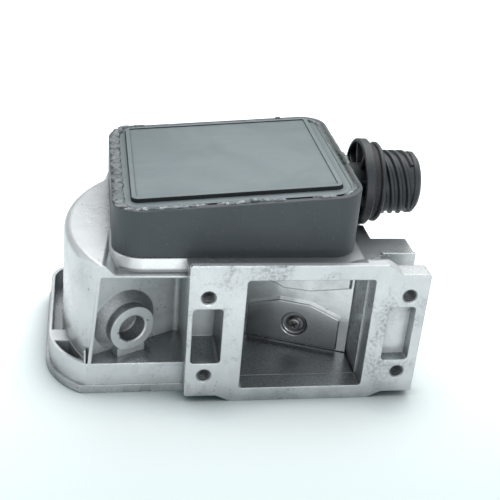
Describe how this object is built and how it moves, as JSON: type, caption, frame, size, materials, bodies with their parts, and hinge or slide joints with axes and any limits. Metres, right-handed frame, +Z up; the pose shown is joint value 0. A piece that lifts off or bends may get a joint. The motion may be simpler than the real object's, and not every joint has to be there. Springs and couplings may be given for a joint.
{
  "type": "vane air flow meter",
  "caption": "Vane type intake air flow meter: cast housing with inlet flange, sprung measuring vane with damping vane, sealed sensor box and round screw-ring connector.",
  "frame": {"origin": "centre of the inlet bolt pattern, on the face of the inlet flange", "axes": "+X towards the connector side, +Y downstream through the passage, +Z up towards the sensor box"},
  "size_m": [0.1637, 0.128, 0.0945],
  "materials": {
    "cast_aluminium": "as-cast, dull, pitted",
    "plate_aluminium": "cast, dull",
    "frame_plastic": "matt, worn",
    "lid_plastic": "matt",
    "silicone": "translucent bead, messy",
    "connector_plastic": "semi-matt black",
    "seal_rubber": "matt black",
    "contact_metal": "tinned",
    "steel": "zinc plated",
    "bush_bronze": "sintered",
    "vane_aluminium": "die-cast, clean",
    "relief_aluminium": "pressed, clean",
    "spring_steel": "bright",
    "wheel_plastic": "natural",
    "board_ceramic": "ceramic with a printed track",
    "sensor_plastic": "matt",
    "weight_metal": "plain"
  },
  "bodies": {
    "housing": {"housing": "cast_aluminium", "base_plate": "plate_aluminium", "base_screws": "steel", "cover_frame": "frame_plastic", "cover_lid": "lid_plastic", "lid_sealant": "silicone", "connector_shell": "connector_plastic", "connector_seal": "seal_rubber", "contact_pins": "contact_metal", "track_board": "board_ceramic", "lead_strips": "contact_metal", "board_screws": "steel", "tension_wheel": "wheel_plastic", "wheel_detent": "spring_steel", "detent_screw": "steel", "upper_bush": "bush_bronze", "lower_bush": "bush_bronze", "air_temp_sensor": "sensor_plastic", "return_spring": "spring_steel"},
    "vane": {"shaft": "steel", "shaft_clip": "spring_steel", "air_vane": "vane_aluminium", "set_screws": "steel", "spring_collar": "bush_bronze", "wiper_arm": "sensor_plastic", "wiper_fingers": "contact_metal", "counterweight": "weight_metal"},
    "relief": {"relief_plate": "relief_aluminium", "relief_screw": "steel", "relief_nut": "steel", "relief_spring": "spring_steel"}
  },
  "joints": [
    {"name": "vane_hinge", "type": "hinge", "parent": "housing", "child": "vane", "pos_m": [-0.0315, 0.0468, 0], "axis": [0, 0, 1], "range_deg": [0, 82], "stiffness_Nm_per_rad": 0.006, "springref_deg": -51.57, "deforming": ["return_spring"]},
    {"name": "relief_slide", "type": "slide", "parent": "vane", "child": "relief", "axis": [-0.3665, -0.9304, 0], "range_m": [0, 0.0015], "stiffness_N_per_m": 1500, "springref_m": -0.0015, "deforming": ["relief_spring"]}
  ]
}
